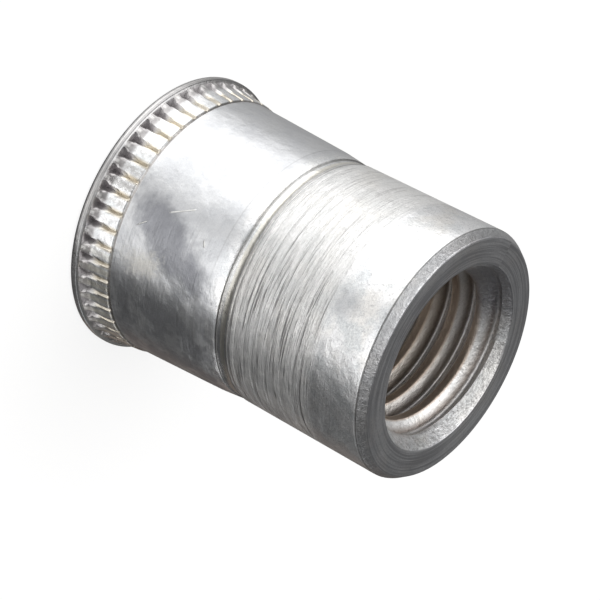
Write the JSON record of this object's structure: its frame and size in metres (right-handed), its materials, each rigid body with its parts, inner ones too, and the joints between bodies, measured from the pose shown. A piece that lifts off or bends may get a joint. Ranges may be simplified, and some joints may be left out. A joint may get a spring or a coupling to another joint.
{
  "type": "rivet nut",
  "caption": "Open-end rivet nut: round tapped sleeve with a thin-walled barrel and a low ribbed head, set in a panel hole to give it a strong thread.",
  "frame": {"origin": "centre of the outer face of the head, on the plane that the head stands on", "axes": "+Z along the axis of the thread, from the head towards the open threaded end; +X and +Y are square to it, and each passes through the middle of a rib"},
  "size_m": [0.0124, 0.0124, 0.0153],
  "materials": {
    "bare_aluminium": "turned and tumbled bare metal, satin, with fine turning marks"
  },
  "bodies": {
    "root": {"rivet_nut": "bare_aluminium"}
  },
  "joints": []
}
